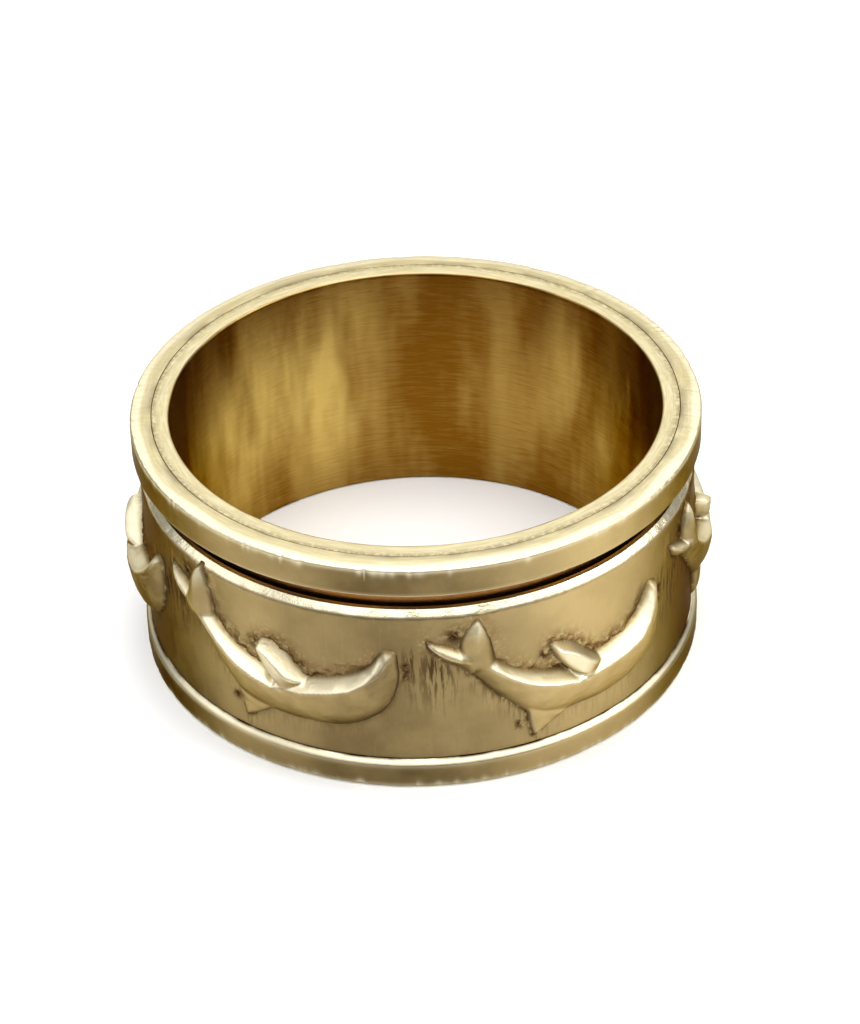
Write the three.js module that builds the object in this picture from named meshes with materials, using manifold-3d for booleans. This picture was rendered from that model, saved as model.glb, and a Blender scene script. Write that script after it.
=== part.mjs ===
// A spinner ring: a brass sleeve with a rim at each end, and a loose band that turns between them.
// Six dolphins in relief are soldered round the band.
// Millimetres, +Z up. The origin is the centre of the bore at the bottom face.

import * as THREE from 'three';
import { mergeVertices } from 'three/addons/utils/BufferGeometryUtils.js';
import Module from 'manifold-3d';

const wasm = await Module();
wasm.setup();

// Sleeve and rims
const BORE_RADIUS = 9.5;
const RING_HEIGHT = 10.2;
const SLEEVE_WALL = 0.7;
const RIM_WIDTH = 0.83;
const UPPER_RIM_HEIGHT = 1.25;
const LOWER_RIM_HEIGHT = 1.25;
const SOLDER_GAP = 0.02;
const RIM_EDGE = 0.14;
const BORE_EDGE = 0.2;
const JOINT_EDGE = 0.03;

// Band, which rests just above the lower rim and has a broad bevel round its top outer edge
const BAND_CLEARANCE = 0.17;
const BAND_WALL = 0.45;
const BAND_HEIGHT = 6.78;
const BAND_EDGE = 0.06;
const BAND_BORE_EDGE = 0.05;
const LIP_EDGE = 0.3;
const REST_GAP = 0.03;

// Dolphins: the first one's middle is this many degrees round from the front, which faces -Y.
const DOLPHINS = 6;
const FIRST_DOLPHIN = 29;
const DOLPHIN_HEIGHT = 4.54;
// The fifth and sixth dolphins are set a little higher than the others.
const DOLPHIN_LIFTS = [0, 0, 0, 0, 0.25, 0.25];
const BODY_RELIEF = 0.84;
const BODY_CROWN = 0.7;
const FLUKE_HEIGHT = 0.5;
const DORSAL_HEIGHT = 0.6;
const PECTORAL_HEIGHT = 0.78;
const FIN_EDGE = 0.1;
const FIN_ROOT = 0.2;
const BEAK_HALF_LENGTH = 0.75;
const BEAK_HALF_WIDTH = 0.42;
const BEAK_LEAN = THREE.MathUtils.degToRad(-6);
const BEAK_CENTRE = new THREE.Vector2(4.6, 0.6);

// The body's centre line is an arc that opens upwards, from the tail stock to the snout.
const ARC_RADIUS = 5.35;
const ARC_CENTRE = new THREE.Vector2(0.95, 4.15);
const TAIL_ANGLE = THREE.MathUtils.degToRad(-65);
const SNOUT_ANGLE = THREE.MathUtils.degToRad(45);

// Facets round the ring and round a dolphin's body
const FACETS = 96;
const BODY_STEPS = 22;
const BODY_SIDES = 14;
const CURVE_STEPS = 5;

const SLEEVE_OUTER = BORE_RADIUS + SLEEVE_WALL;
const RIM_INNER = SLEEVE_OUTER + SOLDER_GAP;
const RIM_OUTER = RIM_INNER + RIM_WIDTH;
const BAND_INNER = SLEEVE_OUTER + BAND_CLEARANCE;
const BAND_OUTER = BAND_INNER + BAND_WALL;
const BAND_BOTTOM = LOWER_RIM_HEIGHT + REST_GAP;

const brass = (color, roughness) => new THREE.MeshStandardMaterial({ color, roughness, metalness: 1 });
const sleeveBrass = brass(0xb98a3a, 0.3);
const rimBrass = brass(0xd9cf9a, 0.34);
const bandBrass = brass(0xa89a68, 0.42);
const reliefBrass = brass(0xd6c690, 0.26);

const ring = new THREE.Group();

function add(name, geometry, material) {
  const mesh = new THREE.Mesh(geometry, material);
  mesh.name = name;
  ring.add(mesh);
  return mesh;
}

// A hoop round the Z axis, with the two edges of its hole and its two outer edges broken.
function hoop(inner, outer, bottom, height, holeEdge, outerEdge, topEdge = outerEdge) {
  const top = bottom + height;
  const profile = [
    [inner + holeEdge, bottom],
    [outer - outerEdge, bottom],
    [outer, bottom + outerEdge],
    [outer, top - topEdge],
    [outer - topEdge, top],
    [inner + holeEdge, top],
    [inner, top - holeEdge],
    [inner, bottom + holeEdge],
    [inner + holeEdge, bottom],
  ].map(([radius, z]) => new THREE.Vector2(radius, z));
  return new THREE.LatheGeometry(profile, FACETS).rotateX(Math.PI / 2);
}

// A dolphin is drawn flat, as seen from outside the ring: x runs round the band and y up it, both
// from the middle of the dolphin, and z stands out of the band. This bends the drawing round.
function wrap(geometry) {
  const position = geometry.attributes.position;
  for (let i = 0; i < position.count; i += 1) {
    const turn = position.getX(i) / BAND_OUTER;
    const radius = BAND_OUTER + position.getZ(i);
    const height = DOLPHIN_HEIGHT + position.getY(i);
    position.setXYZ(i, radius * Math.sin(turn), -radius * Math.cos(turn), height);
  }
  return geometry;
}

function toSolid(geometry) {
  geometry.deleteAttribute('normal');
  geometry.deleteAttribute('uv');
  const merged = mergeVertices(geometry);
  const vertProperties = Float32Array.from(merged.attributes.position.array);
  const triVerts = Uint32Array.from(merged.index.array);
  return new wasm.Manifold(new wasm.Mesh({ numProp: 3, vertProperties, triVerts }));
}

function toGeometry(solid) {
  const mesh = solid.getMesh();
  const geometry = new THREE.BufferGeometry();
  geometry.setAttribute('position', new THREE.BufferAttribute(mesh.vertProperties, 3));
  geometry.setIndex(new THREE.BufferAttribute(mesh.triVerts, 1));
  geometry.computeVertexNormals();
  return geometry;
}

// The body is a spindle turned on a lathe, given as its half width at shares of its length, then
// flattened and bent along the arc.
function body() {
  const halfWidths = new THREE.SplineCurve([
    new THREE.Vector2(0.45, 0),
    new THREE.Vector2(0.6, 0.22),
    new THREE.Vector2(0.95, 0.5),
    new THREE.Vector2(1.12, 0.7),
    new THREE.Vector2(1.02, 0.87),
    new THREE.Vector2(0.6, 0.99),
  ]);
  const tail = new THREE.Vector2(0, 0);
  const snout = new THREE.Vector2(0, 1.04);
  const profile = [tail, ...halfWidths.getPoints(BODY_STEPS), snout];
  const spindle = new THREE.LatheGeometry(profile, BODY_SIDES);
  const position = spindle.attributes.position;
  for (let i = 0; i < position.count; i += 1) {
    const angle = THREE.MathUtils.lerp(TAIL_ANGLE, SNOUT_ANGLE, position.getY(i));
    const reach = ARC_RADIUS + position.getX(i);
    const x = ARC_CENTRE.x + reach * Math.sin(angle);
    const y = ARC_CENTRE.y - reach * Math.cos(angle);
    const depth = position.getZ(i);
    position.setXYZ(i, x, y, Math.sign(depth) * BODY_RELIEF * Math.abs(depth) ** BODY_CROWN);
  }
  return spindle;
}

// The beak rises from the snout towards the belly side.
function beak() {
  return new THREE.SphereGeometry(1, BODY_SIDES, BODY_SIDES / 2)
    .scale(BEAK_HALF_WIDTH, BEAK_HALF_LENGTH, BEAK_HALF_WIDTH)
    .rotateZ(BEAK_LEAN)
    .translate(BEAK_CENTRE.x, BEAK_CENTRE.y, 0);
}

// A flat fin with softened edges, from below the band's surface up to its height.
function fin(shape, height) {
  const depth = height + FIN_ROOT - FIN_EDGE;
  const geometry = new THREE.ExtrudeGeometry(shape, {
    depth,
    bevelThickness: FIN_EDGE,
    bevelSize: FIN_EDGE,
    bevelOffset: -FIN_EDGE,
    bevelSegments: 1,
    curveSegments: CURVE_STEPS,
  });
  return geometry.translate(0, 0, -FIN_ROOT);
}

function flukes() {
  const shape = new THREE.Shape();
  shape.moveTo(-3.3, 1.0);
  shape.quadraticCurveTo(-3.3, 2.2, -3.55, 3.12);
  shape.quadraticCurveTo(-4.1, 2.6, -4.15, 1.8);
  shape.quadraticCurveTo(-4.7, 2.05, -5.38, 2.2);
  shape.quadraticCurveTo(-4.9, 1.0, -3.9, 0.55);
  return fin(shape, FLUKE_HEIGHT);
}

function dorsalFin() {
  const shape = new THREE.Shape();
  shape.moveTo(-1.6, -1.1);
  shape.quadraticCurveTo(-1.45, -2.0, -1.4, -2.95);
  shape.quadraticCurveTo(-0.4, -2.65, 0.4, -1.7);
  return fin(shape, DORSAL_HEIGHT);
}

function pectoralFin() {
  const shape = new THREE.Shape();
  shape.moveTo(1.0, -1.0);
  shape.quadraticCurveTo(0.0, 0.1, -0.55, 1.2);
  shape.quadraticCurveTo(0.2, 1.3, 0.6, 0.85);
  shape.quadraticCurveTo(1.0, 0.3, 1.8, -0.3);
  return fin(shape, PECTORAL_HEIGHT);
}

// One casting: the parts joined, then hollowed underneath to sit round the band.
function dolphin() {
  const parts = [body(), beak(), flukes(), dorsalFin(), pectoralFin()];
  const joined = parts.map((part) => toSolid(wrap(part))).reduce((all, part) => all.add(part));
  const seat = new THREE.CylinderGeometry(
    BAND_OUTER + SOLDER_GAP,
    BAND_OUTER + SOLDER_GAP,
    RING_HEIGHT * 2,
    FACETS,
  );
  return toGeometry(joined.subtract(toSolid(seat.rotateX(Math.PI / 2))));
}

const sleeve = hoop(BORE_RADIUS, SLEEVE_OUTER, 0, RING_HEIGHT, BORE_EDGE, JOINT_EDGE);
const lowerRim = hoop(RIM_INNER, RIM_OUTER, 0, LOWER_RIM_HEIGHT, JOINT_EDGE, RIM_EDGE);
const upperRimBottom = RING_HEIGHT - UPPER_RIM_HEIGHT;
const upperRim = hoop(RIM_INNER, RIM_OUTER, upperRimBottom, UPPER_RIM_HEIGHT, JOINT_EDGE, RIM_EDGE);
const band = hoop(
  BAND_INNER,
  BAND_OUTER,
  BAND_BOTTOM,
  BAND_HEIGHT,
  BAND_BORE_EDGE,
  BAND_EDGE,
  LIP_EDGE,
);
add('inner_sleeve', sleeve, sleeveBrass);
add('lower_rim', lowerRim, rimBrass);
add('upper_rim', upperRim, rimBrass);
add('spinner_band', band, bandBrass);

const casting = dolphin();
for (let i = 0; i < DOLPHINS; i += 1) {
  const mesh = add(`dolphin_${i + 1}`, casting.clone(), reliefBrass);
  mesh.rotation.z = THREE.MathUtils.degToRad(FIRST_DOLPHIN + (i * 360) / DOLPHINS);
  mesh.position.z = DOLPHIN_LIFTS[i];
}

export default ring;
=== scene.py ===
"""A brass spinner ring on a pale floor.

A sleeve with a rim at each end carries a loose band, and six cast dolphins are soldered round the
band. Sizes are in metres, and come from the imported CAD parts.
"""

import math

import bpy
import numpy as np
from mathutils import Matrix, Vector, noise


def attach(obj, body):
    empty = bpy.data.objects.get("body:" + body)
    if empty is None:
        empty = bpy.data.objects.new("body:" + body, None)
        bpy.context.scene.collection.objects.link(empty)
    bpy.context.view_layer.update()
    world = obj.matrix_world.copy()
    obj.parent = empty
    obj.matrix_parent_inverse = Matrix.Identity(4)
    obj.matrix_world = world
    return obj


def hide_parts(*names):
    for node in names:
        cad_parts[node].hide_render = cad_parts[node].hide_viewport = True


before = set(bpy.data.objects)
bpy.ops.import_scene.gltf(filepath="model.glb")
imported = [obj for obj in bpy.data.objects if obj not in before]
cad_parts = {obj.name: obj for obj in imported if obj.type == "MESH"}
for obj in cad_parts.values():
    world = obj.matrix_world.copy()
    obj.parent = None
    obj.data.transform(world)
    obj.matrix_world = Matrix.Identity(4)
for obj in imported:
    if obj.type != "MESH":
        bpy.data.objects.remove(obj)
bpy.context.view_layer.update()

MM = 0.001


# ---------------------------------------------------------------- sizes from the frame


def cad_points(node):
    """A CAD node's vertices at rest, one row each."""
    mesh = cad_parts[node].data
    points = np.empty(len(mesh.vertices) * 3)
    mesh.vertices.foreach_get("co", points)
    return points.reshape(-1, 3)


def hoop_size(node):
    """Inner radius, outer radius, bottom and top of one of the four hoops."""
    points = cad_points(node)
    radius = np.hypot(points[:, 0], points[:, 1])
    return radius.min(), radius.max(), points[:, 2].min(), points[:, 2].max()


def turn_of(points):
    """How far round the ring each point is, from the front at -Y towards +X."""
    return np.arctan2(points[:, 0], -points[:, 1])


SLEEVE = hoop_size("inner_sleeve")
UPPER_RIM = hoop_size("upper_rim")
LOWER_RIM = hoop_size("lower_rim")
BAND = hoop_size("spinner_band")
BAND_RADIUS = BAND[1]
RING_MIDDLE = SLEEVE[3] / 2
RIM_RADIUS = UPPER_RIM[1]
DOLPHINS = sorted(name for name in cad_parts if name.startswith("dolphin_"))


def half_turn(angle):
    """The same angle, between minus half a turn and half a turn."""
    return (angle + math.pi) % (2 * math.pi) - math.pi


def dolphin_start(node):
    """The turn at which a dolphin's flukes start, and the height of their highest tip."""
    points = cad_points(node)
    middle = points.mean(axis=0)
    about = math.atan2(middle[0], -middle[1])
    return about + half_turn(turn_of(points) - about).min(), points[:, 2].max()


# ---------------------------------------------------------------- camera

ELEVATION = math.radians(35.22)
ROLL = math.radians(-1.7)
DISTANCE = 12.07 * RIM_RADIUS
ASIDE = 0.040 * RIM_RADIUS
ABOVE = -0.0115 * RIM_RADIUS
LENS = 118.7


def make_camera():
    """The camera looks down at the ring's middle, a little to one side of it and a little rolled."""
    right = Vector((1, 0, 0))
    forward = Vector((0, math.cos(ELEVATION), -math.sin(ELEVATION)))
    up = right.cross(forward)
    turned_right = right * math.cos(ROLL) + up * math.sin(ROLL)
    turned_up = up * math.cos(ROLL) - right * math.sin(ROLL)
    place = Vector((0, 0, RING_MIDDLE)) - forward * DISTANCE + turned_right * ASIDE + turned_up * ABOVE
    data = bpy.data.cameras.new("camera")
    data.lens = LENS
    data.sensor_width = 36
    data.clip_start = 0.001
    camera = bpy.data.objects.new("camera", data)
    axes = Matrix((turned_right, turned_up, -forward)).transposed()
    camera.matrix_world = Matrix.Translation(place) @ axes.to_4x4()
    bpy.context.scene.collection.objects.link(camera)
    bpy.context.scene.camera = camera


make_camera()


# ---------------------------------------------------------------- mesh helpers


def ripple(turns, heights, seed, waves, most_round, most_up, strength):
    """Smooth noise that joins up round the ring: a sum of waves in turn and height, about +-strength."""
    random = np.random.default_rng(seed)
    total = np.zeros(len(turns))
    for _ in range(waves):
        around = random.integers(1, most_round + 1)
        upward = random.uniform(-most_up, most_up)
        phase = random.uniform(0, 2 * math.pi)
        total += np.cos(around * turns + upward * heights / MM + phase)
    return strength * total / math.sqrt(waves)


def nicks(turns, seed, count, narrow, wide):
    """Depth of small random nicks round an edge, from 0 to 1. Widths are in millimetres."""
    random = np.random.default_rng(seed)
    depth = np.zeros(len(turns))
    for _ in range(count):
        width = random.uniform(narrow, wide) * MM / RIM_RADIUS
        away = half_turn(turns - random.uniform(-math.pi, math.pi))
        depth = np.maximum(depth, random.uniform(0.2, 1.0) * np.exp(-((away / width) ** 2)))
    return depth


def grain(points, scale, octaves, shift=0.0):
    """Fractal noise at each point, about -1 to 1."""
    offset = Vector((shift, shift, shift))
    return np.array([noise.fractal(Vector(p) * scale + offset, 1.0, 2.0, octaves) for p in points])


def near(values, level, width):
    """1 at the level, falling smoothly to 0 beyond the width."""
    return np.exp(-(((values - level) / width) ** 2))


def patches(turn, table):
    """The sum of soft patches round the ring, each given by its turn, width and strength."""
    total = np.zeros(len(turn))
    for at, width, strength in table:
        total += strength * near(np.degrees(half_turn(turn - math.radians(at))), 0, width)
    return np.clip(total, 0, 1)


def new_piece(name, points, faces, body, material):
    """A smooth-shaded mesh object that rides on a body."""
    mesh = bpy.data.meshes.new(name)
    mesh.from_pydata(points.tolist(), [], faces.tolist())
    mesh.shade_smooth()
    piece = bpy.data.objects.new(name, mesh)
    bpy.context.scene.collection.objects.link(piece)
    mesh.materials.append(material)
    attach(piece, body)
    return piece


def set_attribute(piece, name, values):
    attribute = piece.data.attributes.new(name, "FLOAT", "POINT")
    attribute.data.foreach_set("value", np.asarray(values, dtype=np.float32))


def arc(start, corner, end, steps=7):
    """A smooth bend from start to end that leans on the corner."""
    shares = np.linspace(0, 1, steps)[:, None]
    return (1 - shares) ** 2 * start + 2 * shares * (1 - shares) * corner + shares**2 * end


def rounded(corners):
    """A closed outline of round corners joined by straight stretches.

    A corner is its radius, its height, its rounding, and the step along the stretch that follows it.
    """
    bends = []
    for before, here, after in zip(corners[-1:] + corners[:-1], corners, corners[1:] + corners[:1]):
        place = np.array(here[:2])
        back = np.array(before[:2]) - place
        ahead = np.array(after[:2]) - place
        start = place + back / np.linalg.norm(back) * here[2]
        end = place + ahead / np.linalg.norm(ahead) * here[2]
        bends.append(arc(start, place, end))
    outline = []
    for corner, bend, following in zip(corners, bends, bends[1:] + bends[:1]):
        outline.append(bend)
        gap = following[0] - bend[-1]
        count = math.ceil(np.linalg.norm(gap) / corner[3])
        shares = np.arange(1, count)[:, None] / count
        outline.append(bend[-1] + shares * gap)
    return np.vstack(outline)


def hoop_mesh(profile, segments):
    """Radius, turn and height of the outline swept round the ring from the back, and its quads."""
    count = len(profile)
    turns = np.linspace(-math.pi, math.pi, segments, endpoint=False)
    radius = np.tile(profile[:, 0], segments)
    height = np.tile(profile[:, 1], segments)
    turn = np.repeat(turns, count)
    here = np.arange(segments)[:, None] * count
    there = (here + count) % (segments * count)
    low = np.arange(count)
    high = (low + 1) % count
    faces = np.stack((here + low, there + low, there + high, here + high), axis=-1)
    return radius, turn, height, faces.reshape(-1, 4)


def to_space(radius, turn, height):
    return np.column_stack((radius * np.sin(turn), -radius * np.cos(turn), height))


# ---------------------------------------------------------------- brass


class Nodes:
    """Short calls for building one material's nodes. Places are in millimetres."""

    def __init__(self, name):
        self.material = bpy.data.materials.new(name)
        self.material.use_nodes = True
        self.tree = self.material.node_tree
        self.shader = self.tree.nodes["Principled BSDF"]
        where = self.add("ShaderNodeTexCoord").outputs["Object"]
        scaled = self.add("ShaderNodeVectorMath", {0: where, "Scale": 1 / MM}, operation="SCALE")
        self.point = scaled.outputs[0]
        self.x, self.y, self.z = self.add("ShaderNodeSeparateXYZ", {0: self.point}).outputs

    def add(self, kind, values=(), **settings):
        node = self.tree.nodes.new(kind)
        for key, value in settings.items():
            setattr(node, key, value)
        for socket, value in dict(values).items():
            self.put(node.inputs[socket], value)
        return node

    def put(self, socket, value):
        if isinstance(value, bpy.types.NodeSocket):
            self.tree.links.new(value, socket)
        else:
            socket.default_value = value

    def maths(self, operation, a, b=0.0, c=0.0, clamp=False):
        values = {0: a, 1: b, 2: c}
        return self.add("ShaderNodeMath", values, operation=operation, use_clamp=clamp).outputs[0]

    def times(self, a, b):
        return self.maths("MULTIPLY", a, b)

    def stretched(self, x, y, z):
        """The place with each axis scaled, so that noise is drawn out along an axis scaled down."""
        values = {0: self.times(self.x, x), 1: self.times(self.y, y), 2: self.times(self.z, z)}
        return self.add("ShaderNodeCombineXYZ", values).outputs[0]

    def noise(self, vector, scale, detail=3.0, roughness=0.55):
        values = {"Vector": vector, "Scale": scale, "Detail": detail, "Roughness": roughness}
        return self.add("ShaderNodeTexNoise", values).outputs["Fac"]

    def lines_round(self):
        """Fine lines that run round the ring, as a lathe or a finger leaves."""
        flat = self.stretched(1.0, 1.0, 0.0)
        radius = self.add("ShaderNodeVectorMath", {0: flat}, operation="LENGTH").outputs["Value"]
        across = self.times(self.maths("ADD", radius, self.z), 3.0)
        values = {0: self.times(self.x, 0.2), 1: self.times(self.y, 0.2), 2: across}
        return self.noise(self.add("ShaderNodeCombineXYZ", values).outputs[0], 5.0, 4.0, 0.6)

    def steps(self, factor, low, high):
        """0 up to low, rising smoothly to 1 at high."""
        values = {"Value": factor, "From Min": low, "From Max": high}
        node = self.add("ShaderNodeMapRange", values, interpolation_type="SMOOTHSTEP")
        return node.outputs[0]

    def mix(self, factor, a, b):
        node = self.add("ShaderNodeMix", data_type="RGBA")
        for socket, value in zip((0, 6, 7), (factor, a, b)):
            self.put(node.inputs[socket], value)
        return node.outputs[2]

    def blend(self, factor, a, b):
        node = self.add("ShaderNodeMix", data_type="FLOAT")
        for socket, value in zip((0, 2, 3), (factor, a, b)):
            self.put(node.inputs[socket], value)
        return node.outputs[0]

    def attribute(self, name):
        return self.add("ShaderNodeAttribute", attribute_name=name).outputs["Fac"]

    def bump(self, height, distance, normal=None):
        values = {"Height": height, "Strength": 1.0, "Distance": distance * MM}
        if normal is not None:
            values["Normal"] = normal
        return self.add("ShaderNodeBump", values).outputs[0]

    def metal(self, colour, roughness, normal):
        self.put(self.shader.inputs["Base Color"], colour)
        self.put(self.shader.inputs["Roughness"], roughness)
        self.put(self.shader.inputs["Normal"], normal)
        self.shader.inputs["Metallic"].default_value = 1.0
        self.shader.inputs["Specular Tint"].default_value = SHEEN
        return self.material


def rgb(red, green, blue):
    return (red, green, blue, 1.0)


IVORY = rgb(0.83, 0.75, 0.53)
PALE = rgb(0.56, 0.48, 0.27)
GOLD = rgb(0.47, 0.35, 0.16)
OLIVE = rgb(0.105, 0.072, 0.029)
REFLECTED_AMBER = rgb(0.66, 0.47, 0.13)
SHADED_HONEY = rgb(0.19, 0.078, 0.005)
PEACH = rgb(0.20, 0.11, 0.045)
GROOVE_BROWN = rgb(0.26, 0.1, 0.016)
SOOT_AND_SHADE = rgb(0.04, 0.016, 0.004)
SHADE_UMBER = rgb(0.085, 0.052, 0.022)
SHEEN = rgb(0.34, 0.28, 0.16)


def rim_brass():
    nodes = Nodes("rim_brass")
    cloud = nodes.noise(nodes.point, 0.5, 4.0)
    fine = nodes.noise(nodes.point, 7.0, 3.0)
    lines = nodes.lines_round()
    bright = nodes.maths("MULTIPLY_ADD", nodes.steps(cloud, 0.3, 0.7), 0.5, nodes.steps(lines, 0.3, 0.9))
    bright = nodes.times(nodes.maths("SUBTRACT", bright, 0.2, clamp=True), 0.7)
    # The end faces are painted paler than the walls, a painted highlight where they face up, and paler
    # still towards their outer edge and at the back.
    top = nodes.mix(nodes.maths("MAXIMUM", bright, nodes.attribute("top_highlight")), PALE, IVORY)
    top = nodes.mix(nodes.times(nodes.attribute("seam"), nodes.steps(cloud, 0.35, 0.65)), top, OLIVE)
    # The walls are painted brighter in broad patches, a painted reflection.
    painted_sheen = nodes.maths("ADD", nodes.attribute("painted_sheen"), nodes.times(nodes.steps(cloud, 0.3, 0.7), 0.18))
    wall = nodes.mix(nodes.maths("SUBTRACT", painted_sheen, 0.04, clamp=True), OLIVE, GOLD)
    tone = nodes.mix(nodes.attribute("wall"), top, wall)
    # Painted highlight on the rim's corners.
    tone = nodes.mix(nodes.attribute("edge"), tone, IVORY)
    # Painted shade in the groove, and a dark joint.
    spots = nodes.times(nodes.attribute("groove_shade_and_joint"), nodes.steps(cloud, 0.3, 0.6))
    tone = nodes.mix(spots, tone, SOOT_AND_SHADE)
    rough = nodes.blend(lines, 0.24, 0.42)
    rough = nodes.maths("ADD", rough, nodes.times(nodes.steps(fine, 0.5, 0.8), 0.12))
    normal = nodes.bump(lines, 0.012)
    normal = nodes.bump(fine, 0.012, normal)
    return nodes.metal(tone, rough, normal)


def sleeve_brass():
    nodes = Nodes("sleeve_brass")
    columns = nodes.noise(nodes.stretched(1.0, 1.0, 0.25), 0.4, 3.0)
    fine = nodes.noise(nodes.point, 5.0, 3.0)
    lines = nodes.lines_round()
    # The sleeve's end face is painted pale, a painted highlight where it faces up.
    top = nodes.mix(nodes.times(nodes.steps(lines, 0.3, 0.8), 0.7), PALE, IVORY)
    top = nodes.mix(nodes.times(nodes.attribute("seam"), nodes.steps(fine, 0.3, 0.6)), top, OLIVE)
    # Painted reflection: bright amber streaks on the bore, over a dark honey tone that is painted shade
    # inside the ring.
    painted_bright = nodes.times(nodes.attribute("painted_reflection"), nodes.steps(columns, 0.25, 0.6))
    painted_bright = nodes.maths("ADD", painted_bright, nodes.times(nodes.steps(columns, 0.4, 0.7), 0.25), clamp=True)
    painted_bright = nodes.maths("ADD", painted_bright, nodes.times(nodes.maths("SUBTRACT", lines, 0.5), 0.5), clamp=True)
    inside = nodes.mix(painted_bright, SHADED_HONEY, REFLECTED_AMBER)
    tone = nodes.mix(nodes.attribute("bore"), top, inside)
    # Painted shade in the groove between the rims, and a dark joint.
    tone = nodes.mix(nodes.attribute("groove_shade_and_joint"), tone, GROOVE_BROWN)
    rough = nodes.blend(lines, 0.24, 0.4)
    normal = nodes.bump(lines, 0.008)
    normal = nodes.bump(columns, 0.1, normal)
    normal = nodes.bump(fine, 0.006, normal)
    return nodes.metal(tone, rough, normal)


def band_brass():
    nodes = Nodes("band_brass")
    cloud = nodes.noise(nodes.point, 0.45, 4.0)
    drags = nodes.noise(nodes.stretched(1.0, 1.0, 0.12), 8.0, 3.0, 0.6)
    fine = nodes.noise(nodes.point, 8.0, 3.0)
    pits = nodes.noise(nodes.point, 4.5, 2.0)
    edge = nodes.attribute("edge")
    solder = nodes.times(nodes.attribute("solder"), nodes.steps(pits, 0.36, 0.56))
    # The band is painted brighter in broad patches and at its front, a painted reflection.
    painted_sheen = nodes.maths("ADD", nodes.attribute("painted_sheen"), nodes.times(nodes.steps(cloud, 0.3, 0.7), 0.2))
    tone = nodes.mix(nodes.maths("SUBTRACT", painted_sheen, 0.04, clamp=True), OLIVE, GOLD)
    # Painted shade: broad patches of the band, mostly at its sides, are painted darker.
    tone = nodes.mix(nodes.times(nodes.attribute("painted_shade"), nodes.steps(cloud, 0.3, 0.6)), tone, SHADE_UMBER)
    tone = nodes.mix(nodes.times(nodes.steps(drags, 0.5, 0.8), 0.08), tone, PALE)
    tone = nodes.mix(nodes.times(solder, 0.85), tone, PEACH)
    crumbs = nodes.times(nodes.attribute("solder"), nodes.times(nodes.steps(fine, 0.58, 0.66), 0.6))
    tone = nodes.mix(crumbs, tone, PALE)
    drip = nodes.times(nodes.attribute("drip"), nodes.times(nodes.steps(drags, 0.45, 0.62), 0.8))
    # The seam along the dolphins' lower outlines and the dark spots are partly dirt and partly painted
    # shade under the relief.
    seam = nodes.times(nodes.attribute("seam"), nodes.steps(pits, 0.3, 0.56))
    dirt_and_shade = nodes.maths("MAXIMUM", drip, seam)
    tone = nodes.mix(dirt_and_shade, tone, SOOT_AND_SHADE)
    # Painted highlight along the band's top lip.
    tone = nodes.mix(edge, tone, IVORY)
    rough = nodes.blend(drags, 0.32, 0.48)
    rough = nodes.blend(edge, rough, 0.22)
    rough = nodes.maths("ADD", rough, nodes.times(dirt_and_shade, 0.3))
    normal = nodes.bump(drags, 0.006)
    normal = nodes.bump(fine, 0.01, normal)
    normal = nodes.bump(nodes.times(solder, pits), 0.03, normal)
    return nodes.metal(tone, rough, normal)


def relief_brass():
    nodes = Nodes("relief_brass")
    cloud = nodes.noise(nodes.point, 0.7, 4.0)
    fine = nodes.noise(nodes.point, 8.0, 3.0)
    pits = nodes.noise(nodes.point, 3.5, 3.0)
    # The castings are painted brighter in broad patches and at the front, a painted reflection.
    painted_sheen = nodes.maths("ADD", nodes.attribute("painted_sheen"), nodes.times(nodes.steps(cloud, 0.3, 0.7), 0.3))
    tone = nodes.mix(nodes.maths("ADD", painted_sheen, 0.1, clamp=True), OLIVE, GOLD)
    # Painted highlight on upward slopes, with wear on ridges.
    tone = nodes.mix(nodes.attribute("crest"), tone, IVORY)
    # Painted shade at the castings' foot, and dirt in their hollows.
    dirt_and_shade = nodes.times(nodes.attribute("foot_shade_and_dirt"), nodes.steps(pits, 0.3, 0.55))
    tone = nodes.mix(dirt_and_shade, tone, SOOT_AND_SHADE)
    rough = nodes.blend(cloud, 0.34, 0.5)
    rough = nodes.maths("ADD", rough, nodes.times(dirt_and_shade, 0.3))
    normal = nodes.bump(fine, 0.008)
    normal = nodes.bump(pits, 0.012, normal)
    return nodes.metal(tone, rough, normal)


RIM_BRASS = rim_brass()
SLEEVE_BRASS = sleeve_brass()
BAND_BRASS = band_brass()
RELIEF_BRASS = relief_brass()


# ---------------------------------------------------------------- rims and sleeve

# Steps along a hoop's outline where it is seen, and where it is hidden.
FINE = 0.105 * MM
COARSE = 0.6 * MM
RIM_SEGMENTS = 1200
SLEEVE_SEGMENTS = 720
BAND_SEGMENTS = 880

# How far a rim's end face falls to its outer edge, and the share of its width that stays flat.
RIM_FALL = 0.07 * MM
RIM_FLAT = 0.42
CHIP_DEPTH = 0.02 * MM
JOINT_DEPTH = 0.08 * MM
# The solder joint in the upper rim.

JOINT_TURN = math.radians(-10.5)
# Broad patches of the band painted darker, which is painted shade, and of all the walls painted
# brighter, which is painted reflection: turn, width in degrees and strength.
SHADE_PATCHES = [(77, 14, 0.9), (-84, 16, 0.7), (-165, 20, 0.5)]
BRIGHT_PATCHES = [(-37, 16, 0.5), (36, 22, 0.88), (105, 25, 0.4), (-135, 30, 0.6), (180, 25, 0.4)]
# Broad stretches of the rims' corners where their painted highlight is dimmer.
DIMMED_HIGHLIGHTS = [(62, 20, 0.75), (-85, 18, 0.4)]


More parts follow.
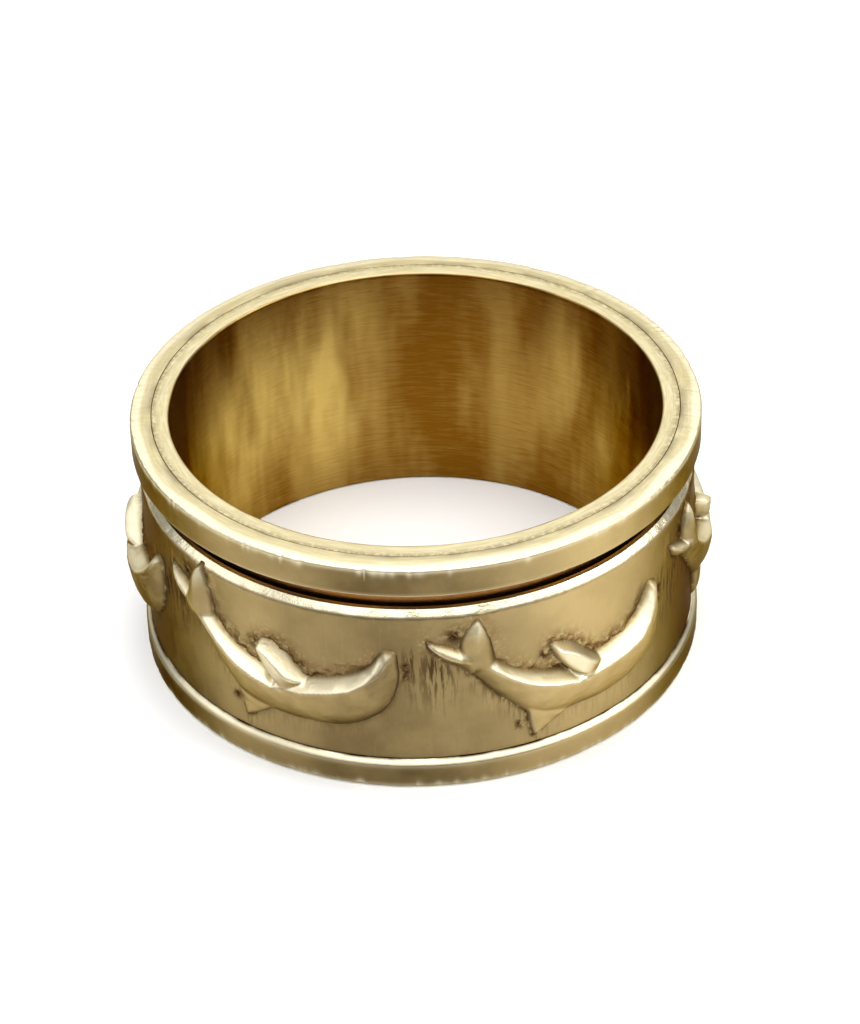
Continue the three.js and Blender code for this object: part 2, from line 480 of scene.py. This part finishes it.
def make_rim(name, size, end, seed):
    """A rim whose end face, at the ring's top or bottom, slopes down a little to its outer edge."""
    inner, outer, bottom, top = size
    shoulder = inner + RIM_FLAT * (outer - inner)
    if end == "top":
        level = top
        corners = [(inner, bottom, 0.03 * MM, FINE), (outer, bottom, 0.09 * MM, FINE)]
        corners += [(outer, top - RIM_FALL, 0.09 * MM, FINE), (shoulder, top, 0.2 * MM, FINE)]
        corners += [(inner, top, 0.015 * MM, COARSE)]
    else:
        level = bottom
        corners = [(inner, bottom, 0.03 * MM, FINE), (shoulder, bottom, 0.2 * MM, FINE)]
        corners += [(outer, bottom + RIM_FALL, 0.12 * MM, FINE), (outer, top - 0.21 * MM, 0.06 * MM, FINE)]
        corners += [(outer - 0.22 * MM, top, 0.03 * MM, FINE), (inner, top, 0.03 * MM, COARSE)]
    radius, turn, height, faces = hoop_mesh(rounded(corners), RIM_SEGMENTS)
    out = (radius - inner) / (outer - inner)
    face = near(height, level, 0.25 * MM)
    lump = ripple(turn, height, seed, 14, 16, 0.3, 0.01 * MM)
    fine = np.abs(ripple(turn, height, seed + 2, 16, 150, 0.3, 1.0))
    chip = nicks(turn, seed + 1, 120, 0.05, 0.2) * out**6
    radius = radius - out * np.abs(lump) - chip * face * CHIP_DEPTH
    inward = 1 if level == bottom else -1
    height = height + inward * face * (chip * 0.035 + fine * 0.012 * out) * MM
    if end == "top":
        joint = near(turn, JOINT_TURN, 0.006) * out**8 * np.clip((height - bottom) / (top - bottom), 0, 1)
        radius = radius - joint * JOINT_DEPTH
    rim = new_piece(name + "_hoop", to_space(radius, turn, height), faces, "base", RIM_BRASS)
    wall = np.clip((radius - outer) / (0.06 * MM) + 1.9, 0, 1)
    # Painted highlight: the outer corner at the rim's far end and the nicks in its end face are painted
    # ivory, dimmer in a few stretches.
    far_edge = near(height, bottom, 0.06 * MM) if end == "top" else near(height, top, 0.19 * MM)
    corner_highlight = near(radius, outer, 0.2 * MM) * far_edge
    # Painted highlight: the end faces take the pale tone and the walls the darker one.
    set_attribute(rim, "wall", wall * (1 - near(height, level, 0.14 * MM)))
    # Painted reflection: broad patches of the rim's walls are painted brighter.
    set_attribute(rim, "painted_sheen", patches(turn, BRIGHT_PATCHES))
    set_attribute(rim, "seam", 0.6 * near(out, 0, 0.3))
    # Painted highlight: the outer part of the end face and its back are painted paler.
    at_back = 0.7 * near(np.abs(turn), math.pi, 0.8)
    set_attribute(rim, "top_highlight", np.clip((out - 0.45) / 0.2 + 0.4 * lump / (0.01 * MM) + at_back, 0, 1))
    painted_shine = 0.9 * (1 - patches(turn, DIMMED_HIGHLIGHTS))
    set_attribute(rim, "edge", np.clip(corner_highlight + chip * face, 0, 1) * painted_shine)
    # Painted shade: the rim's face beside the band, in the groove, is painted near black, with a dark
    # joint along its inner edge.
    hidden = (out < 0.9) * near(height, top if end == "bottom" else bottom, 0.05 * MM)
    set_attribute(rim, "groove_shade_and_joint", np.clip(hidden + 0.2 * near(radius, inner, 0.04 * MM), 0, 1))
    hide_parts(name)


# Broad stretches of the bore painted brighter, which is painted reflection, given as for the walls.
BORE_REFLECTIONS = [(-129, 14, 1.0), (-155, 13, 1.0), (160, 9, 0.15), (133, 13, 0.6), (30, 20, 0.6), (-40, 25, 0.7)]


def bore_reflection(turn, height):
    """How bright the painted reflection on the bore is: most in a few broad stretches, and least near its
    top.
    """
    return patches(turn, BORE_REFLECTIONS) * near(height, 0.55 * SLEEVE[3], 0.42 * SLEEVE[3])


def make_sleeve():
    inner, outer, bottom, top = SLEEVE
    corners = [(inner, bottom, 0.2 * MM, FINE), (outer, bottom, 0.03 * MM, COARSE)]
    corners += [(outer, top, 0.015 * MM, FINE), (inner, top, 0.14 * MM, 0.14 * MM)]
    radius, turn, height, faces = hoop_mesh(rounded(corners), SLEEVE_SEGMENTS)
    wave = ripple(turn, height, 5, 18, 9, 0.5, 0.012 * MM)
    radius = radius + np.abs(wave) * near(radius, inner, 0.3 * MM)
    points = to_space(radius, turn, height)
    sleeve = new_piece("inner_sleeve_tube", points, faces, "base", SLEEVE_BRASS)
    bore = np.clip((inner - radius) / (0.1 * MM) + 1.2, 0, 1)
    set_attribute(sleeve, "bore", bore)
    # Painted reflection on the bore.
    set_attribute(sleeve, "painted_reflection", bore_reflection(turn, height))
    set_attribute(sleeve, "seam", 0.5 * near(radius, outer, 0.2 * MM))
    # Painted shade: the sleeve's wall in the groove between the rims is painted dark brown, with a dark
    # joint along its outer edge.
    groove = (radius > outer - 0.05 * MM) & (height > LOWER_RIM[3]) & (height < UPPER_RIM[2])
    set_attribute(sleeve, "groove_shade_and_joint", np.maximum(groove * 0.9, 0.2 * near(radius, outer, 0.04 * MM)))
    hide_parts("inner_sleeve")


make_rim("upper_rim", UPPER_RIM, "top", 11)
make_rim("lower_rim", LOWER_RIM, "bottom", 23)
make_sleeve()


# ---------------------------------------------------------------- the dolphins' relief

# A dolphin is a height above the band's surface, drawn flat in millimetres: x round the band and y
# up it. It leaps with its belly towards +Y, so its back is the lower edge.
BELLY = [
    (-3.9, 1.75), (-3.35, 1.5), (-2.74, 1.1), (-2.2, 0.68), (-1.43, 0.27), (-0.4, 0.0), (0.6, -0.1),
    (1.9, 0.08), (3.0, 0.35), (3.55, 0.64), (3.95, 1.02), (4.2, 1.46),
]
BACK = [
    (-4.3, 1.25), (-3.97, 0.97), (-3.43, 0.33), (-2.8, -0.45), (-2.17, -1.09), (-1.51, -1.66),
    (-0.6, -2.02), (0.6, -2.14), (2.0, -2.16), (3.2, -1.95), (4.2, -1.4), (4.75, -0.6), (4.93, 0.3),
    (4.93, 0.98),
    (4.9, 1.4), (4.65, 1.58), (4.4, 1.6), (4.2, 1.46),
]
BODY_RELIEF = 0.8
FULL_WIDTH = 1.05
BEVEL_SLOPE = 2.4
BACK_SLOPE = 1.1
BACK_STEP = 0.12

FLUKES = [
    (-2.75, 0.95), ((-2.85, 2.2), (-3.4, 3.14)), ((-4.05, 2.7), (-4.15, 1.8)),
    ((-4.7, 2.1), (-5.4, 2.25)), ((-5.15, 1.45), (-4.3, 1.15)), ((-4.0, 1.0), (-3.8, 0.6)),
]
DORSAL = [(-1.7, -1.3), ((-1.5, -2.2), (-1.35, -2.9)), ((-0.6, -2.6), (0.2, -1.8))]
# The pectoral fin's face falls from its bright upper edge to the lower one.
FIN_UPPER = [(-0.6, 1.12), (-0.3, 1.16), (0.3, 0.95), (0.95, 0.4), (1.75, -0.3)]
FIN_LOWER = [(-0.6, 1.12), (-0.5, 0.7), (-0.1, 0.05), (0.45, -0.5), (1.1, -0.8), (1.75, -0.3)]
# The grid's cell, how far the relief's edge is sunk below the band's surface, how deep its back lies,
# and how steeply the drawn height falls outside an outline.
CELL = 0.045
SUNK = 0.08
ROOT = 0.3
FALL = 2.5
TALLEST = 0.83
FIRST_SEED = 40


def smooth_curve(points, steps=6):
    """A smooth curve through the points."""
    points = np.array(points, dtype=float)
    points = np.vstack((2 * points[0] - points[1], points, 2 * points[-1] - points[-2]))
    curve = []
    for p0, p1, p2, p3 in zip(points, points[1:], points[2:], points[3:]):
        for t in np.arange(steps) / steps:
            bend = 2 * p0 - 5 * p1 + 4 * p2 - p3
            twist = 3 * p1 - p0 - 3 * p2 + p3
            curve.append(p1 + 0.5 * t * (p2 - p0 + t * (bend + t * twist)))
    curve.append(points[-2])
    return np.array(curve)


def bent_outline(start_and_bends, steps=7):
    """A closed outline: a start, then the control point and end of each bend."""
    here = np.array(start_and_bends[0])
    outline = [here[None]]
    for control, end in start_and_bends[1:]:
        outline.append(arc(here, np.array(control), np.array(end), steps)[1:])
        here = np.array(end)
    return np.vstack(outline + [outline[0]])


def distance(x, y, line):
    """Distance from each place to the line."""
    least = np.full(x.shape, np.inf)
    for (ax, ay), (bx, by) in zip(line, line[1:]):
        dx, dy = bx - ax, by - ay
        share = np.clip(((x - ax) * dx + (y - ay) * dy) / (dx * dx + dy * dy + 1e-12), 0, 1)
        least = np.minimum(least, (x - ax - share * dx) ** 2 + (y - ay - share * dy) ** 2)
    return np.sqrt(least)


def inside(x, y, outline):
    """Whether each place is within the closed outline."""
    within = np.zeros(x.shape, dtype=bool)
    for (ax, ay), (bx, by) in zip(outline, outline[1:]):
        if ay != by:
            within ^= ((ay > y) != (by > y)) & (x < (bx - ax) * (y - ay) / (by - ay) + ax)
    return within


def smooth_max(a, b, soft):
    return (a + b + np.sqrt((a - b) ** 2 + soft**2)) / 2


BELLY_LINE = smooth_curve(BELLY)
BACK_LINE = smooth_curve(BACK)
BODY_LINE = np.vstack((BELLY_LINE, BACK_LINE[::-1], BELLY_LINE[:1]))
FLUKE_LINE = bent_outline(FLUKES)
DORSAL_LINE = bent_outline(DORSAL)
FIN_UPPER_LINE = smooth_curve(FIN_UPPER)
FIN_LOWER_LINE = smooth_curve(FIN_LOWER)
FIN_LINE = np.vstack((FIN_UPPER_LINE, FIN_LOWER_LINE[::-1]))


def smooth_min(a, b, soft):
    return (a + b - np.sqrt((a - b) ** 2 + soft**2)) / 2


def body_height(x, y):
    """The body: a steep bevel on its belly side, then a gentle fall to its back, which ends in a step."""
    to_belly = distance(x, y, BELLY_LINE)
    to_back = distance(x, y, BACK_LINE)
    width = (to_belly + to_back) / 2
    across = to_belly / (to_back + to_belly + 1e-9)
    most = BODY_RELIEF * np.clip(width / FULL_WIDTH, 0, 1) ** 0.45
    crown = most * (1.02 - 0.5 * across**2)
    slope = smooth_min(crown, BEVEL_SLOPE * to_belly, 0.1)
    slope = smooth_min(slope, BACK_STEP + BACK_SLOPE * to_back, 0.3)
    slope = np.minimum(slope, 6 * np.minimum(to_back, to_belly))
    return np.where(inside(x, y, BODY_LINE), slope, -FALL * np.minimum(to_belly, to_back))


def fin_height(x, y, line, root, tip, root_height, tip_height, edge_width):
    """A flat fin with soft edges, whose height changes from its root to its tip."""
    edge = distance(x, y, line)
    reach = np.array(tip) - np.array(root)
    out = np.clip(((x - root[0]) * reach[0] + (y - root[1]) * reach[1]) / (reach @ reach), 0, 1)
    top = root_height + (tip_height - root_height) * out
    return np.where(inside(x, y, line), top * (1 - np.exp(-edge / edge_width)), -FALL * edge)


def pectoral_height(x, y):
    """The pectoral fin: a leaf with a crest along its upper edge, that lies over the body."""
    to_upper = distance(x, y, FIN_UPPER_LINE)
    to_lower = distance(x, y, FIN_LOWER_LINE)
    across = to_upper / (to_upper + to_lower + 1e-9)
    out = np.clip((1.1 - x) / 1.7, 0, 1)
    face = 0.84 - 0.12 * across - 0.22 * out**2
    root = np.clip((x - 0.6 - 0.4 * y) / 1.0, 0, 1)
    face = smooth_min(face - 0.5 * root**2, 4.0 * to_upper, 0.1)
    face = smooth_min(face, 0.2 + 2.6 * to_lower, 0.1)
    edge = np.minimum(to_upper, to_lower)
    return np.where(inside(x, y, FIN_LINE), face * (1 - np.exp(-edge / 0.04)), -FALL * edge)


def furrow(x, y, line, width, depth):
    return depth * np.exp(-((distance(x, y, line) / width) ** 2))


def dolphin_height(x, y):
    """Height of the whole dolphin above the band, in millimetres: below zero outside its outline."""
    flukes = fin_height(x, y, FLUKE_LINE, (-3.9, 1.0), (-4.5, 2.8), 0.55, 0.4, 0.25)
    dorsal = fin_height(x, y, DORSAL_LINE, (-0.6, -1.8), (-1.4, -2.95), 0.34, 0.2, 0.1)
    pectoral = pectoral_height(x, y)
    body = body_height(x, y)
    beside_fin = ~inside(x, y, FIN_LINE) & (body > 0.15)
    body = body - beside_fin * furrow(x, y, FIN_LOWER_LINE[3:17], 0.11, 0.26)
    height = smooth_max(smooth_max(body, flukes, 0.1), dorsal, 0.1)
    height = smooth_max(height, pectoral, 0.03)
    mouth = furrow(x, y, np.array([(4.62, 1.0), (4.35, 0.6), (3.9, 0.3)]), 0.05, 0.07)
    eye = furrow(x, y, np.array([(4.05, -0.12), (4.07, -0.12)]), 0.08, 0.06)
    vein = furrow(x, y, np.array([(-3.95, 1.15), (-4.12, 1.9)]), 0.08, 0.06)
    marks = (mouth + eye + vein) * (height > 0.1)
    return np.minimum(height, TALLEST) - marks


GRID_X, GRID_Y = np.meshgrid(np.arange(-5.7, 5.4, CELL), np.arange(-3.25, 3.45, CELL))


def blurred(grid, times):
    for _ in range(times):
        padded = np.pad(grid, 1, mode="edge")
        grid = (padded[:-2, 1:-1] + padded[2:, 1:-1] + padded[1:-1, :-2] + padded[1:-1, 2:] + grid) / 5
    return grid


def relief_faces(kept, shape):
    """Quads of a closed slab over the kept cells: its top, its bottom and the walls round it."""
    index = np.arange(shape[0] * shape[1]).reshape(shape)
    below = index.size
    a, b, c, d = index[:-1, :-1], index[:-1, 1:], index[1:, 1:], index[1:, :-1]
    top = np.stack((a, b, c, d), axis=-1)[kept]
    faces = [top, top[:, ::-1] + below]
    ring = np.pad(kept, 1)
    sides = [(ring[:-2, 1:-1], a, b), (ring[1:-1, 2:], b, c)]
    sides += [(ring[2:, 1:-1], c, d), (ring[1:-1, :-2], d, a)]
    for neighbour, start, end in sides:
        open_side = kept & ~neighbour
        start, end = start[open_side], end[open_side]
        faces.append(np.stack((end, start, start + below, end + below), axis=-1))
    return np.vstack(faces)


def uneven_height(seed):
    """The dolphin's height over the grid, a little bent and lumpy in a way of its own."""
    flat = np.column_stack((GRID_X.ravel(), GRID_Y.ravel(), np.full(GRID_X.size, seed * 7.3)))
    shift = 0.05 * grain(flat, 0.6, 2).reshape(GRID_X.shape)
    height = blurred(dolphin_height(GRID_X + shift, GRID_Y - shift), 2)
    lumps = 0.03 * grain(flat, 1.1, 3, 5.0).reshape(GRID_X.shape)
    return height + lumps * np.clip(height / 0.3, 0, 1)


def mark_dolphin(dolphin, x, y, turn, out, curve, facing):
    """Where a casting gets a painted highlight on its upward slopes and wear on its ridges, and where it
    gets painted shade at its foot and dirt in its hollows, from its curvature and upward slope.
    """
    # Painted highlight: slopes facing up, the pectoral fin's face and the flukes' tips are painted ivory;
    # convex ridges are also worn bright.
    bevel = np.clip((facing - 0.35) / 0.5, 0, 1)
    crest = np.maximum(bevel, 0.8 * np.clip(curve / 0.09 - 0.3, 0, 1)) * np.clip((out - 0.08) / 0.2, 0, 1)
    # Painted reflection: the castings are painted brighter in the same broad patches, and a little at the
    # front.
    painted_shine = patches(turn, BRIGHT_PATCHES) + 0.15 * near(turn, 0, 0.4)
    on_fin = inside(x, y, FIN_LINE) * np.clip((1.0 - x + 0.4 * y) / 0.6, 0, 1)
    crest = np.maximum(crest, on_fin * (0.4 + 0.45 * painted_shine))
    tips = near(np.hypot(x + 5.3, y - 2.2), 0, 0.35) + near(np.hypot(x + 3.45, y - 2.95), 0, 0.45)
    set_attribute(dolphin, "crest", np.maximum(crest, 0.7 * np.clip(tips, 0, 1) * (out > 0.1)))
    set_attribute(dolphin, "painted_sheen", painted_shine)
    # Painted shade at the casting's foot, where it meets the band, and dirt in its concave hollows.
    foot = np.clip(1 - out / 0.16, 0, 1) * (0.8 - 0.3 * bevel)
    dirt_and_shade = np.clip(-curve / 0.06 - 0.6, 0, 1) * np.clip(out / 0.1, 0, 1) * (1 - bevel)
    set_attribute(dolphin, "foot_shade_and_dirt", np.clip(dirt_and_shade + foot, 0, 1))


def make_dolphin(name, seed):
    """One casting, bent round the band. Gives the turn and the height that its drawing starts from."""
    height = uneven_height(seed)
    curve = height - blurred(height, 14)
    climb = -np.gradient(height, CELL, axis=0)
    corners = np.stack((height[:-1, :-1], height[:-1, 1:], height[1:, 1:], height[1:, :-1]))
    kept = corners.max(axis=0) > -0.5 * SUNK
    used, faces = np.unique(relief_faces(kept, height.shape), return_inverse=True)
    above = np.clip(height, -SUNK, None).ravel()
    out = np.concatenate((above, np.full(above.size, -ROOT)))[used]
    cell = used % above.size
    x = GRID_X.ravel()[cell]
    y = GRID_Y.ravel()[cell]
    start, highest = dolphin_start(name)
    turn = start + (x - FLUKE_LINE[:, 0].min()) * MM / BAND_RADIUS
    up = highest + (y - FLUKE_LINE[:, 1].max()) * MM
    points = to_space(BAND_RADIUS + out * MM, turn, up)
    faces = faces.reshape(-1, 4)
    dolphin = new_piece(name + "_casting", points, faces, "spinner", RELIEF_BRASS)
    mark_dolphin(dolphin, x, y, turn, out, curve.ravel()[cell], climb.ravel()[cell])
    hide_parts(name)
    return start, highest


places = [make_dolphin(name, FIRST_SEED + i) for i, name in enumerate(DOLPHINS)]


# ---------------------------------------------------------------- band


def beside_dolphin(turn, height):
    """Flat place of each point in the nearest dolphin's drawing, in millimetres."""
    x = np.full(len(turn), np.inf)
    y = np.zeros(len(turn))
    for start, highest in places:
        middle = start - FLUKE_LINE[:, 0].min() * MM / BAND_RADIUS
        away = half_turn(turn - middle) * BAND_RADIUS / MM
        nearer = np.abs(away) < np.abs(x)
        x = np.where(nearer, away, x)
        y = np.where(nearer, (height - highest) / MM + FLUKE_LINE[:, 1].max(), y)
    return x, y


def lowest_and_highest(x):
    """The lowest and the highest place of the dolphin's outline at each x."""
    raised = dolphin_height(GRID_X, GRID_Y) > 0
    low = np.where(raised, GRID_Y, np.inf).min(axis=0)
    high = np.where(raised, GRID_Y, -np.inf).max(axis=0)
    columns = GRID_X[0]
    return np.interp(x, columns, np.clip(low, -9, 9)), np.interp(x, columns, np.clip(high, -9, 9))


# Dark spots beside each dolphin: x, y and size in the flat drawing. They are at the fluke notch, the
# pectoral fin's tip, the dorsal fin and the beak, and are partly dirt and partly painted shade in the
# recesses there.
DARK_SPOTS = [
    (-4.3, 2.4, 0.4), (-0.85, 0.75, 0.22), (-1.85, -2.2, 0.24), (5.2, 0.85, 0.2), (5.2, 0.6, 0.22),
    (5.15, 0.3, 0.22),
]

# The band's top outer edge is bevelled.
LIP = 0.27 * MM
BAND_CHIP = 0.05 * MM
SOLDER_HEIGHT = 0.16 * MM


def band_dirt(x, y):
    """A dark seam along the dolphins' lower outlines with the dark spots, partly dirt and partly painted
    shade under the relief; upright drips; and rough solder round the dolphins, each from 0 to 1.
    """
    lines = (BODY_LINE, FLUKE_LINE, DORSAL_LINE, FIN_LINE)
    away = np.min([distance(x, y, line) for line in lines], axis=0)
    low, high = lowest_and_highest(x)
    above = np.clip((y - (low + high) / 2) / 0.3, 0, 1)
    drop = np.clip(low - y, 0, None)
    drip = np.where(drop > 0, np.exp(-drop / 0.5), 0) * (np.abs(x) < 5.3) * np.where(x < -1, 1, 0.4)
    tail = near(x, -5.0, 0.8) + near(x, 5.7, 0.7)
    drip = np.maximum(drip, tail * np.clip((y + 1.6) / 2.2, 0, 1) * np.clip((1.9 - y) / 0.6, 0, 1))
    seam = near(away, 0, 0.12) * np.where(x < -0.9, 0.9, 0.35) * (1 - above)
    for spot_x, spot_y, size in DARK_SPOTS:
        seam = np.maximum(seam, near(np.hypot(x - spot_x, y - spot_y), 0, size))
    solder = near(away, 0, 0.46) * above * (0.35 + 0.65 * near(x, 0.8, 2.4)) * (x < 4)
    return seam, drip, solder


def make_band():
    inner, outer, bottom, top = BAND
    corners = [(inner, bottom, 0.06 * MM, FINE), (outer, bottom, 0.02 * MM, FINE)]
    corners += [(outer, top - LIP * 1.1, 0.12 * MM, FINE), (outer - LIP, top, 0.03 * MM, FINE)]
    corners += [(inner, top, 0.03 * MM, COARSE)]
    radius, turn, height, faces = hoop_mesh(rounded(corners), BAND_SEGMENTS)
    out = (radius - inner) / (outer - inner)
    x, y = beside_dolphin(turn, height)
    seam, drip, solder = band_dirt(x, y)
    bits = grain(to_space(radius, turn, height) / MM, 2.6, 3)
    lump = ripple(turn, height, 61, 16, 12, 0.5, 0.012 * MM)
    on_lip = near(height, top - 0.5 * LIP, 0.5 * LIP)
    ragged = ripple(turn, height, 63, 16, 120, 1.5, 0.012 * MM) * on_lip
    chip = nicks(turn, 62, 90, 0.08, 0.4) * near(height, top, 0.3 * MM) * out**4
    radius = radius - out * (np.abs(lump) + np.abs(ragged)) - chip * BAND_CHIP
    radius = radius + (out > 0.95) * np.clip(solder * (bits + 0.25), 0, 1) * SOLDER_HEIGHT
    height = height - chip * BAND_CHIP
    points = to_space(radius, turn, height)
    band = new_piece("spinner_band_hoop", points, faces, "spinner", BAND_BRASS)
    outside = out > 0.8
    # Partly dirt and partly painted shade along the dolphins' lower outlines.
    set_attribute(band, "seam", seam * outside)
    set_attribute(band, "solder", solder * outside)
    set_attribute(band, "drip", drip * outside)
    # Painted reflection: broad bright patches, and the band's front painted brighter.
    set_attribute(band, "painted_sheen", patches(turn, BRIGHT_PATCHES) + 0.17 * near(turn, 0, 0.38))
    # Painted shade: the band's sides are painted darker in broad patches.
    set_attribute(band, "painted_shade", patches(turn, SHADE_PATCHES))
    # Painted highlight: the bevelled lip along the band's top is painted ivory.
    painted_bright = np.clip((height - top + 1.15 * LIP - 0.8 * np.abs(ragged)) / (0.1 * MM), 0, 1)
    set_attribute(band, "edge", 0.9 * painted_bright)
    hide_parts("spinner_band")


make_band()


# ---------------------------------------------------------------- studio


FLOOR_SIZE = 4.0
SKY_STRENGTH = 0.35


def make_floor():
    half = FLOOR_SIZE / 2
    corners = [(-half, -half, 0), (half, -half, 0), (half, half, 0), (-half, half, 0)]
    mesh = bpy.data.meshes.new("floor")
    mesh.from_pydata(corners, [], [(0, 1, 2, 3)])
    floor = bpy.data.objects.new("floor", mesh)
    bpy.context.scene.collection.objects.link(floor)
    nodes = Nodes("floor_paper")
    mottle = nodes.noise(nodes.point, 1.5, 3.0)
    paper = nodes.mix(mottle, rgb(0.94, 0.94, 0.935), rgb(0.97, 0.97, 0.965))
    nodes.put(nodes.shader.inputs["Base Color"], paper)
    nodes.shader.inputs["Roughness"].default_value = 0.9
    nodes.shader.inputs["Specular IOR Level"].default_value = 0.1
    mesh.materials.append(nodes.material)


def softbox(name, place, aim, width, height, radiance, colour=(1.0, 1.0, 1.0)):
    """A rectangular light that gives the same radiance all over its face."""
    data = bpy.data.lights.new(name, "AREA")
    data.shape = "RECTANGLE"
    data.size = width
    data.size_y = height
    data.energy = radiance * math.pi * width * height
    data.color = colour
    light = bpy.data.objects.new(name, data)
    light.location = place
    light.rotation_euler = (Vector(aim) - Vector(place)).to_track_quat("-Z", "Y").to_euler()
    bpy.context.scene.collection.objects.link(light)


def make_lights():
    middle = (0, 0, RING_MIDDLE)
    softbox("canopy_front", (0.03, -0.18, 0.25), middle, 0.6, 0.17, 2.0)
    softbox("canopy_top", (0.0, 0.0, 0.3), middle, 0.36, 0.2, 3.0)
    softbox("canopy_back", (0.0, 0.19, 0.25), middle, 0.36, 0.18, 1.3)
    softbox("behind", (0.03, 0.31, 0.12), middle, 0.5, 0.22, 1.0)
    softbox("right", (0.3, -0.04, 0.18), middle, 0.24, 0.18, 3.0, (1.0, 0.97, 0.9))
    softbox("left", (-0.3, -0.03, 0.16), middle, 0.24, 0.16, 1.4)
    world = bpy.data.worlds.new("world")
    world.use_nodes = True
    sky = world.node_tree.nodes["Background"]
    sky.inputs[0].default_value = rgb(0.95, 0.97, 1.0)
    sky.inputs[1].default_value = SKY_STRENGTH
    bpy.context.scene.world = world
    bpy.context.scene.view_settings.view_transform = "Standard"


make_floor()
make_lights()
